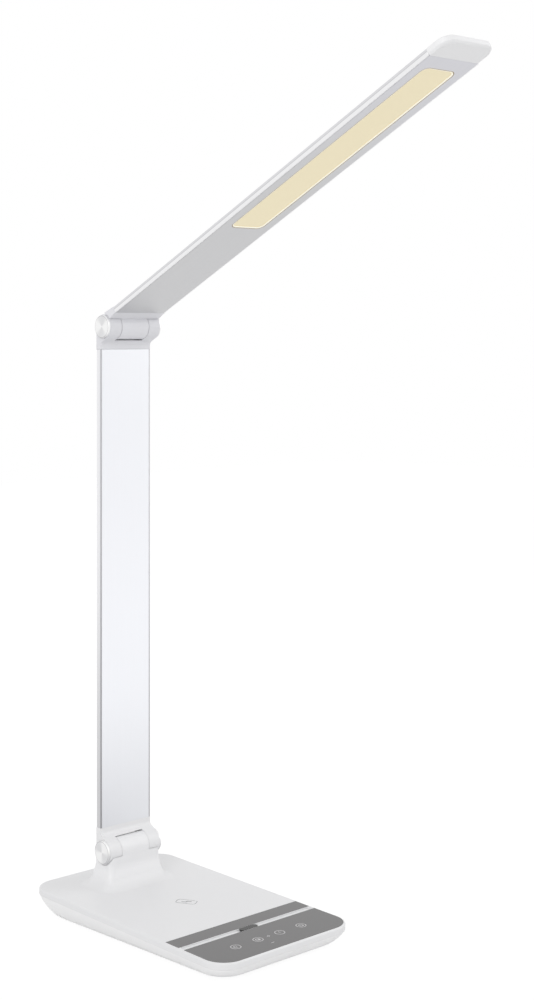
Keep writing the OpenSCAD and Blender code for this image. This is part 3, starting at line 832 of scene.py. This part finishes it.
@dataclass
class Base(Assembly):
    """The boat-shaped base with its tower, dark panels and prints.

    Attributes:
        mark_pitch: Distance between touch marks.
        row_x: Middle of their row.
        ring_r: Radius of a touch mark's ring.
        line: Width of its lines.
        lift: Height of a print over the surface.
        tower_w: Width of the tower. Its front, back and corner radius follow.
        flare_h: Height of the slope at the tower's foot, which stands out by flare_out.
        cove_r: Radius of the cove that softens it, drawn in cove_steps and sunk into the top.
        barrel_r: Radius of the lower knuckle, knuckle_w wide.
        blend_t: Thickness of the strip before it, blend_h high, its corners rounded by blend_r.
        skin: How far its front stays behind the tower's.
    """

    mark_pitch: float = 17.7 * MM
    row_x: float = -0.65 * MM
    ring_r: float = 3.1 * MM
    line: float = 0.48 * MM
    lift: float = 0.01 * MM
    tower_w: float = 41.0 * MM
    tower_front: float = 53.55 * MM
    tower_back: float = 71.7 * MM
    tower_r: float = 3.0 * MM
    flare_h: float = 13.0 * MM
    flare_out: float = 4.6 * MM
    cove_r: float = 9.0 * MM
    cove_steps: int = 9
    sunk: float = 0.4 * MM
    barrel_r: float = 8.15 * MM
    knuckle_w: float = 21.9 * MM
    blend_t: float = 0.55 * MM
    blend_h: float = 2.6 * MM
    blend_r: float = 0.04 * MM
    skin: float = 0.01 * MM

    def build(self) -> None:
        """Dresses the base, prints its marks and adds its soft forms."""
        self.dress({
            "white plastic": ("base_top_shell",),
            "smoked panel": ("touch_panel", "rear_trim_strip"),
            "smoked window": ("status_window",),
            "circuit board": ("touch_board", "power_board"),
            "screw steel": ("base_screws", "touch_springs"),
            "black plastic": ("board_components", "dc_inlet"),
            "raw steel": ("counterweight",),
            "rubber": ("rubber_pad",),
            "copper": ("charging_coil",),
            "ferrite": ("coil_ferrite",),
            "brass": ("lower_bushes",),
        })
        for mark in self.touch_marks():
            self.place(self.layout.onto_top(mark), "white ink")
        self.place(self.layout.onto_top(self.charge_mark()), "grey ink")
        self.place(self.layout.onto_top(self.skirt()), "white plastic", "white_plastic")
        self.place(self.knuckle_blend(), "white plastic", "white_plastic")
        hull = smooth_copy("base_bottom_shell", "smooth_hull", 35.0)
        self.place(hull, "lit hull plastic", "hull_plastic", "base_bottom_shell")

    def skirt(self) -> Piece:
        """Makes the cove that carries the slope of the tower's foot out onto the flat top.

        Its levels follow an arc that touches the slope above and the flat top below.

        Returns:
            The cove.
        """
        turn = math.pi / 2 - math.atan2(self.flare_out, self.flare_h)
        outer = self.flare_out + self.cove_r * math.tan(turn / 2)
        deep = self.tower_back - self.tower_front
        middle = Vector((0.0, (self.tower_front + self.tower_back) / 2, -self.sunk / 2))
        bpy.ops.mesh.primitive_cube_add(size=1.0, location=middle)
        bpy.context.active_object.scale = (self.tower_w + 2 * outer, deep + 2 * outer, self.sunk)
        cove = new_piece("tower_cove")
        with editing(cove):
            select_edges(cove, lambda c, d: abs(d.z) > FLAT_NORMAL)
            bpy.ops.mesh.bevel(offset=self.tower_r + outer, segments=10)
            select_faces(cove, lambda c, n: n.z > FLAT_NORMAL)
            last = Vector((outer, 0.0))
            for step in range(1, self.cove_steps + 1):
                angle = turn * step / self.cove_steps
                point = Vector((
                    outer - self.cove_r * math.sin(angle),
                    self.cove_r * (1 - math.cos(angle)),
                ))
                bpy.ops.mesh.inset(thickness=last.x - point.x, depth=point.y - last.y)
                last = point
        tidy_mesh(cove, 40.0)
        return cove

    def knuckle_blend(self) -> Piece:
        """Makes the strip that brings the tower's front up to the knuckle without a ledge.

        Returns:
            The strip.
        """
        front = self.skin - self.barrel_r
        middle = Vector((0.0, front + self.blend_t / 2, -self.blend_h / 2))
        bpy.ops.mesh.primitive_cube_add(size=1.0, location=middle)
        bpy.context.active_object.scale = (self.knuckle_w, self.blend_t, self.blend_h)
        strip = new_piece("knuckle_blend")
        with editing(strip):
            select_edges(strip, lambda c, d: abs(d.z) > FLAT_NORMAL and c.y < middle.y)
            bpy.ops.mesh.bevel(offset=self.blend_r, segments=3)
        tidy_mesh(strip)
        return settle(strip, self.layout.lower, self.layout.lean)

    def mark_at(self, name: str, x: float, y: float = 0.0) -> PrintedMark:
        """Starts a mark on the touch panel.

        Args:
            name: The piece's name.
            x: Distance from the middle of the base.
            y: Distance behind the row of marks.

        Returns:
            The empty mark.
        """
        return PrintedMark(name, Vector((x, self.layout.marks + y, self.lift)))

    def ringed_mark(self, name: str, place: float) -> PrintedMark:
        """Starts a touch mark with its ring.

        Args:
            name: The piece's name.
            place: Its place in the row, counted in pitches from the middle.

        Returns:
            The mark, to be drawn on.
        """
        mark = self.mark_at(name, self.row_x + place * self.mark_pitch)
        mark.arc(self.ring_r, self.line)
        return mark

    def touch_marks(self) -> Iterator[Piece]:
        """Draws the four ringed marks and the plus and minus signs.

        Yields:
            Each finished print.
        """
        # Night light: a crescent and a star
        mark = self.ringed_mark("mark_night", -1.5)
        mark.arc(1.3 * MM, 0.5 * MM, 40.0, 290.0)
        mark.dot(0.35 * MM, (0.9 * MM, 0.3 * MM))
        yield mark.done()
        # Warm or cool light: a half-filled disc
        mark = self.ringed_mark("mark_colour", -0.5)
        mark.arc(1.5 * MM, self.line)
        mark.dot(1.5 * MM, half=True)
        yield mark.done()
        # Timer: a clock's two hands
        mark = self.ringed_mark("mark_timer", 0.5)
        mark.bar(1.9 * MM, self.line, 90.0, (0.0, 0.75 * MM))
        mark.bar(1.5 * MM, self.line, 0.0, (0.55 * MM, 0.0))
        yield mark.done()
        # On and off: an open circle and a stroke
        mark = self.ringed_mark("mark_power", 1.5)
        mark.arc(1.4 * MM, self.line, 125.0, 360.0)
        mark.arc(1.4 * MM, self.line, 0.0, 55.0)
        mark.bar(1.7 * MM, self.line, 90.0, (0.0, 1.1 * MM))
        yield mark.done()
        mark = self.mark_at("mark_brighter", -1.0 * MM)
        for turn in (0.0, 90.0):
            mark.bar(2.3 * MM, self.line, turn)
        yield mark.done()
        mark = self.mark_at("mark_dimmer", -6.1 * MM, -9.4 * MM)
        mark.bar(2.6 * MM, 0.5 * MM)
        yield mark.done()

    def charge_mark(self) -> Piece:
        """Draws the outline of a phone that lies aslant, with a flash in its middle.

        Returns:
            The finished print.
        """
        mark = PrintedMark("mark_charging", Vector((1.1 * MM, 2.35 * MM, self.lift)))
        half_l, half_w, corner, line = 6.6 * MM, 3.3 * MM, 1.9 * MM, 0.38 * MM
        turn = -60.0
        along = Vector((math.cos(math.radians(turn)), math.sin(math.radians(turn))))
        across = Vector((-along.y, along.x))
        for side in (1, -1):
            mark.bar(2 * (half_l - corner), line, turn, tuple(across * half_w * side))
            mark.bar(2 * (half_w - corner), line, turn + 90.0, tuple(along * half_l * side))
        for quarter, (ahead, aside) in enumerate(((1, 1), (-1, 1), (-1, -1), (1, -1))):
            start = (turn + 90.0 * quarter) % 360.0
            middle = along * (half_l - corner) * ahead + across * (half_w - corner) * aside
            mark.arc(corner, line, start, start + 90.0, tuple(middle))
        flash = Vector((0.84, -0.54))
        for offset, length, slant in ((1.7, 3.4, -50.0), (0.0, 2.4, 20.0), (-1.7, 3.4, -50.0)):
            mark.bar(length * MM, 0.85 * MM, slant, tuple(flash * offset * MM))
        return mark.done()


@dataclass
class Arm(Assembly):
    """The upright blade, its two forks and all that turns with them.

    Attributes:
        seam_r: Outer radius of the rings in the lower hinge's seams, and then their hole's.
        seam_in: Distance from the middle to a ring's inner face, and then to its outer one.
    """

    seam_r: float = 8.0 * MM
    seam_hole_r: float = 7.6 * MM
    seam_in: float = 11.02 * MM
    seam_out: float = 11.33 * MM

    def build(self) -> None:
        """Dresses the arm and closes the lower hinge's two seams."""
        for name, side in (("lower_seam_left", -1), ("lower_seam_right", 1)):
            self.place(self.seam_ring(name, side), "white plastic", "white_plastic")
        self.dress({
            "arm aluminium": ("arm_profile",),
            "arm front aluminium": ("arm_cover",),
            "fork plastic": ("lower_fork",),
            "upper fork plastic": ("upper_fork",),
            "lower spun cap": ("lower_cap_left", "lower_cap_right"),
            "upper spun cap": ("upper_cap_left", "upper_cap_right"),
            "black plastic": ("arm_wire",),
            "brass": ("lower_washers", "upper_washers"),
            "screw steel": ("fork_screws", "lower_axle", "upper_axle",
                            "lower_lock_nut", "upper_lock_nut"),
        })

    def seam_ring(self, name: str, side: int) -> Piece:
        """Makes a thin ring that fills the outer part of a gap between ear and knuckle.

        Args:
            name: The ring's name.
            side: 1 for the right ear, -1 for the left.

        Returns:
            The ring.
        """
        middle = Vector((side * (self.seam_in + self.seam_out) / 2, 0.0, 0.0))
        bpy.ops.mesh.primitive_cylinder_add(
            vertices=96, radius=self.seam_r, depth=self.seam_out - self.seam_in,
            end_fill_type="NGON", location=middle, rotation=(0.0, math.pi / 2, 0.0))
        ring = new_piece(name)
        with editing(ring):
            select_faces(ring, lambda c, n: abs(n.x) > FLAT_NORMAL)
            bpy.ops.mesh.inset(thickness=self.seam_r - self.seam_hole_r)
            bpy.ops.mesh.bridge_edge_loops()
        tidy_mesh(ring, 40.0)
        return settle(ring, self.layout.lower, self.layout.lean)


@dataclass(frozen=True)
class Rim:
    """A thin frame round the light window, drawn with the head level.

    Attributes:
        name: The piece's name.
        gap: How far its outer edge stays inside the window's.
        wide: Its width.
        rise: How far it climbs into the window.
        lift: Height of its outer edge over the underside's face.
        thick: Its thickness.
    """

    name: str
    gap: float
    wide: float
    rise: float
    lift: float
    thick: float


@dataclass
class Head(Assembly):
    """The light head with its warm panel.

    Attributes:
        window_start: Distance from the hinge's axis to the light window.
        window_l: The window's length, and then its width and corner radius.
        outline: The dark line round the window, painted shade in the gap at its edge.
        bezel: The slope between the underside and the sunk light panel, lit by a painted highlight.
    """

    window_start: float = 131.6 * MM
    window_l: float = 177.7 * MM
    window_w: float = 25.6 * MM
    window_r: float = 4.5 * MM
    outline: Rim = Rim("lens_gap_shade", -0.35 * MM, 0.35 * MM, 0.0, -0.01 * MM, 0.02 * MM)
    bezel: Rim = Rim("lens_bezel", 0.42 * MM, 0.6 * MM, 0.35 * MM, 0.03 * MM, 0.2 * MM)

    def build(self) -> None:
        """Dresses the head and frames its light window."""
        self.dress({
            "silver plastic": ("head_knuckle",),
            "head aluminium": ("head_profile",),
            "shaded underside aluminium": ("head_cover",),
            "warm lens": ("diffuser",),
            "clear guide": ("light_guide",),
            "white film": ("reflector", "led_strips"),
            "led phosphor": ("led_chips",),
            "brass": ("upper_bushes",),
            "screw steel": ("head_screws",),
        })
        tip = smooth_copy("head_end_cap", "smooth_tip", 18.0)
        self.place(tip, "lit tip plastic", "white_plastic", "head_end_cap")
        # The brown frame is a dark piece put where there is only shade, and the bezel's light colour and glow are
        # a painted highlight.
        for rim, finish in ((self.outline, "painted gap shade"), (self.bezel, "painted bezel highlight")):
            self.place(self.layout.onto_head(self.framed(rim)), finish, "warm_lens")

    def framed(self, rim: Rim) -> Piece:
        """Makes a frame round the light window.

        Args:
            rim: The frame's sizes.

        Returns:
            The frame.
        """
        middle = Vector((0.0, -self.window_start - self.window_l / 2, UNDERSIDE + rim.lift))
        bpy.ops.mesh.primitive_plane_add(size=1.0, location=middle)
        bpy.context.active_object.scale = (
            self.window_w - 2 * rim.gap, self.window_l - 2 * rim.gap, 1.0)
        piece = new_piece(rim.name)
        with editing(piece):
            bpy.ops.mesh.select_all(action="SELECT")
            bpy.ops.mesh.bevel(offset=self.window_r - rim.gap, segments=8, affect="VERTICES")
            bpy.ops.mesh.select_all(action="SELECT")
            bpy.ops.mesh.inset(thickness=rim.wide, depth=rim.rise)
            bpy.ops.mesh.delete(type="FACE")
        wall = piece.modifiers.new("wall", "SOLIDIFY")
        wall.thickness = rim.thick
        wall.offset = 1.0
        activate(piece)
        bpy.ops.object.modifier_apply(modifier=wall.name)
        tidy_mesh(piece)
        return piece


# ------------------------------------------------------------------ studio


@dataclass(frozen=True)
class Portrait:
    """The camera, where the photograph was taken from.

    Attributes:
        lean: Slope of the lamp's top, which the camera is leaned with.
        place: The camera's position.
        turn_deg: How far it looks to the right of +Y.
        focal_px: Focal length in pixels of a frame that is frame_px high.
        frame_px: Height of the frame.
        axis_px: Where the optical axis is, from the top of the frame.
        sensor_mm: Side of the sensor that the frame's height fills.
        near: The nearest distance that is drawn.
    """

    lean: float
    place: Vector = Vector((-0.67344, -0.82561, 0.34984))
    turn_deg: float = 42.357
    focal_px: float = 1656.1
    frame_px: float = 1000.0
    axis_px: float = 334.87
    sensor_mm: float = 36.0
    near: float = 0.01

    def build(self) -> None:
        """Adds the camera and makes it the scene's own."""
        level = Euler((math.pi / 2, 0.0, -math.radians(self.turn_deg))).to_matrix()
        leaned = Matrix.Rotation(self.lean, 3, "X") @ level
        bpy.ops.object.camera_add(location=self.place, rotation=leaned.to_euler())
        camera = bpy.context.active_object
        camera.name = "portrait_camera"
        camera.data.sensor_width = self.sensor_mm
        camera.data.lens = self.focal_px / self.frame_px * self.sensor_mm
        camera.data.shift_y = (self.axis_px - self.frame_px / 2) / self.frame_px
        camera.data.clip_start = self.near
        bpy.context.scene.camera = camera


@dataclass(frozen=True)
class AreaLamp:
    """A soft studio lamp that faces a point.

    Attributes:
        name: The lamp's name.
        place: Its position.
        size: Side of its square.
        watts: Its power.
        target: The point that it faces.
    """

    name: str
    place: Vector
    size: float
    watts: float
    target: Vector = Vector((0.0, -0.03, 0.25))

    def build(self) -> None:
        """Adds the lamp."""
        bpy.ops.object.light_add(type="AREA", location=self.place)
        lamp = bpy.context.active_object
        lamp.name = self.name
        lamp.data.size = self.size
        lamp.data.energy = self.watts
        lamp.rotation_euler = (self.target - self.place).to_track_quat("-Z", "Y").to_euler()


@dataclass
class Studio:
    """A white room with a pale floor and soft lamps.

    Attributes:
        ambient: Light of the room on matt surfaces.
        floor_half: Half the side of the floor.
        floor_glow: Share of what is seen of the floor that shadows can't darken.
        floor_white: Strength of that share.
        floor_albedo: Grey of the floor's matt share.
    """

    ambient: float = 0.75
    floor_half: float = 4.0
    floor_glow: float = 0.88
    floor_white: float = 1.06
    floor_albedo: float = 0.85

    def build(self) -> None:
        """Adds the room, the floor and the lamps."""
        scene = bpy.context.scene
        scene.view_settings.view_transform = "Standard"
        self.room(scene)
        self.floor()
        for lamp in (
            AreaLamp("key_lamp", Vector((-2.0, -1.1, 1.1)), 1.2, 16.0),
            AreaLamp("fill_lamp", Vector((1.6, -1.0, 1.0)), 1.2, 8.0),
            AreaLamp("top_lamp", Vector((0.0, 0.4, 2.0)), 1.5, 3.5),
        ):
            lamp.build()

    @staticmethod
    def seen(graph: Graph) -> Socket:
        """Tells the rays that show the background itself, or its reflection, by a 1.

        Args:
            graph: The graph to add to.

        Returns:
            The mask's socket.
        """
        path = graph.add("LightPath").outputs
        shown = graph.math("ADD", path["Is Camera Ray"], path["Is Glossy Ray"])
        return graph.math("MINIMUM", graph.math("ADD", shown, path["Is Transmission Ray"]), 1.0)

    def room(self, scene: bpy.types.Scene) -> None:
        """Makes the world white to look at, and a little dimmer as a light.

        Args:
            scene: The scene that gets the world.
        """
        world = bpy.data.worlds.new("white_room")
        world.use_nodes = True
        graph = Graph(world.node_tree)
        strength = graph.remap(self.seen(graph), 0.0, 1.0, self.ambient, 1.0)
        room = graph.add("Background", {"Color": rgba(grey(1.0)), "Strength": strength})
        graph.add("OutputWorld", {"Surface": room.outputs[0]})
        scene.world = world

    def floor(self) -> None:
        """Adds the floor, white to the camera and darker only in the lamp's shadow."""
        bpy.ops.mesh.primitive_plane_add(size=2 * self.floor_half, location=(0, 0, 0))
        floor = new_piece("studio_floor")
        paper = bpy.data.materials.new("white paper")
        paper.use_nodes = True
        graph = Graph(paper.node_tree)
        matt = graph.add("BsdfDiffuse", {"Color": rgba(grey(self.floor_albedo))})
        white = graph.add("Emission", {"Color": rgba(grey(1.0)), "Strength": self.floor_white})
        share = graph.math("MULTIPLY", self.seen(graph), self.floor_glow)
        both = graph.add("MixShader", {0: share, 1: matt.outputs[0], 2: white.outputs[0]})
        graph.add("OutputMaterial", {"Surface": both.outputs[0]})
        floor.data.materials.append(paper)


def finishes(layout: Layout) -> list[Finish]:
    """Lists the lamp's finishes.

    Args:
        layout: The lamp's places, which centre the marks of the turned pieces.

    Returns:
        The finishes.
    """
    up, back = layout.up, layout.back
    high, ahead = (0.0, 0.0, 1.0), (0.0, -1.0, 0.0)
    tilt = layout.pitch - layout.lean
    square = (0.0, math.sin(tilt), math.cos(tilt))  # to the head's underside
    top = layout.surface.dot(Vector(up))
    arm_front = layout.upper.dot(Vector(back)) + ARM_FRONT
    fork_end = layout.upper.dot(Vector(up)) - FORK_FOOT
    underside = layout.upper.dot(Vector(square)) + UNDERSIDE
    upright = {"metallic": 0.9, "pattern": Pattern.DRAWN,
               "turn": (90.0 - math.degrees(layout.lean), 0.0, 0.0)}
    pitched = upright | {"turn": (math.degrees(tilt), 0.0, 0.0)}
    spun = {"pattern": Pattern.SPUN, "scale": 5000.0, "bump": 0.01 * MM, "anisotropic": 0.8,
            "edge": 0.15 * MM}
    return [
        # Painted light: from 1 to 9 mm over the flat top the white plastic grows lighter, so the tower reads
        # lighter than the top.
        Finish("white plastic", (0.77, 0.77, 0.78), 0.42, edge=0.15 * MM,
               painted_light=(PaintedLight(up, top + 1.0 * MM, top + 9.0 * MM, grey(1.07)),)),
        Finish("fork plastic", (0.79, 0.79, 0.8), 0.42),
        # Painted light: the hull is a lighter copy of the white plastic.
        Finish("lit hull plastic", (0.88, 0.88, 0.885), 0.42, edge=0.1 * MM),
        # Painted light: the head's tip is a lighter copy of the white plastic.
        Finish("lit tip plastic", (0.82, 0.82, 0.83), 0.4),
        Finish("silver plastic", (0.735, 0.735, 0.765), 0.38),
        # Painted shade: a darker band at the upper fork's foot, in the seam.
        Finish("upper fork plastic", (0.72, 0.72, 0.75), 0.38,
               painted_light=(PaintedLight(up, fork_end + 0.5 * MM, fork_end + 0.2 * MM, grey(0.78)),)),
        # Painted shade: the sides darken towards the bottom, and a dark line runs along the front edge of each
        # side.
        Finish("arm aluminium", (0.86, 0.86, 0.88), 0.36, **upright, painted_light=(
            PaintedLight(high, 0.26, 0.05, grey(0.7)),
            PaintedLight(back, arm_front + 1.0 * MM, arm_front + 0.7 * MM, (0.62, 0.62, 0.63)))),
        # Painted shade: the front darkens towards the bottom, and a little towards the top.
        Finish("arm front aluminium", (0.9, 0.91, 0.945), 0.38, **upright, edge=0.2 * MM, painted_light=(
            PaintedLight(high, 0.15, 0.05, grey(0.86)),
            PaintedLight(high, 0.17, 0.38, grey(0.89)))),
        # Painted highlight and shade along the sides: a light band at the lower edge, a dark line above it, and
        # the rest a little darker.
        Finish("head aluminium", (0.88, 0.88, 0.89), 0.36, **pitched, painted_light=(
            PaintedLight(square, underside + 2.2 * MM, underside + 2.4 * MM, (0.72, 0.72, 0.73)),
            PaintedLight(square, underside + 2.7 * MM, underside + 2.9 * MM, grey(1.14)))),
        # Painted shade and light: a darker grey than the other aluminium for the face that looks down, lighter and
        # bluer towards the tip.
        Finish("shaded underside aluminium", (0.62, 0.62, 0.63), 0.4, **pitched, edge=0.2 * MM,
               painted_light=(PaintedLight(ahead, 0.1, 0.26, (1.1, 1.1, 1.14)),)),
        # Painted sheen: each cap's light and dark wedges, with a painted shade ring near the rim; a copy for each
        # hinge.
        Finish("lower spun cap", grey(0.9), 0.34, **spun, metallic=0.5,
               centre=tuple(layout.lower), shade=(0.7, 0.7, 0.71), bright=135.0),
        Finish("upper spun cap", grey(0.92), 0.3, **spun, metallic=0.8,
               centre=tuple(layout.upper), shade=(0.74, 0.74, 0.75), bright=5.0),
        Finish("smoked panel", (0.105, 0.102, 0.103), 0.14, level=0.4, bump=0.001 * MM,
               edge=0.15 * MM),
        Finish("smoked window", grey(0.03), 0.1, level=0.2, bump=0.001 * MM),
        Finish("white ink", (0.6, 0.59, 0.6), 0.5, edge=0.01 * MM),
        Finish("grey ink", (0.27, 0.27, 0.28), 0.5, edge=0.01 * MM),
        Finish("warm lens", (0.74, 0.655, 0.44), 0.3, bump=0.002 * MM, glow=0.22, edge=0.2 * MM),
        # Painted shade: the brown frame stands where there is only shade in the window's gap.
        Finish("painted gap shade", (0.42, 0.34, 0.24), 0.5, bump=0.001 * MM),
        # Painted highlight: the bezel is lighter than the lens and glows more.
        Finish("painted bezel highlight", (0.95, 0.92, 0.8), 0.3, bump=0.001 * MM, glow=0.25, edge=0.1 * MM),
        Finish("clear guide", (0.92, 0.93, 0.92), 0.1),
        Finish("white film", grey(0.93), 0.5),
        Finish("led phosphor", (0.90, 0.72, 0.2), 0.4),
        Finish("rubber", (0.045, 0.045, 0.048), 0.8, bump=0.04 * MM, scale=1500.0),
        Finish("raw steel", (0.3, 0.3, 0.31), 0.5, metallic=1.0),
        Finish("screw steel", (0.56, 0.56, 0.58), 0.3, metallic=1.0, spread=0.15),
        Finish("brass", (0.72, 0.52, 0.24), 0.3, metallic=1.0),
        Finish("copper", (0.72, 0.36, 0.2), 0.3, metallic=1.0),
        Finish("ferrite", (0.09, 0.09, 0.095), 0.6),
        Finish("circuit board", (0.03, 0.16, 0.07), 0.35, coat=0.3),
        Finish("black plastic", (0.02, 0.02, 0.022), 0.45),
    ]


def main() -> None:
    """Builds the lamp and its studio."""
    logging.basicConfig(level=logging.INFO, format="%(name)s: %(message)s")
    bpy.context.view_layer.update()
    layout = Layout.from_frame()
    materials = {finish.name: finish.material() for finish in finishes(layout)}
    Portrait(layout.lean).build()
    Base("base", layout, materials).build()
    Arm("arm", layout, materials).build()
    Head("head", layout, materials).build()
    Studio().build()


if __name__ == "__main__":
    main()
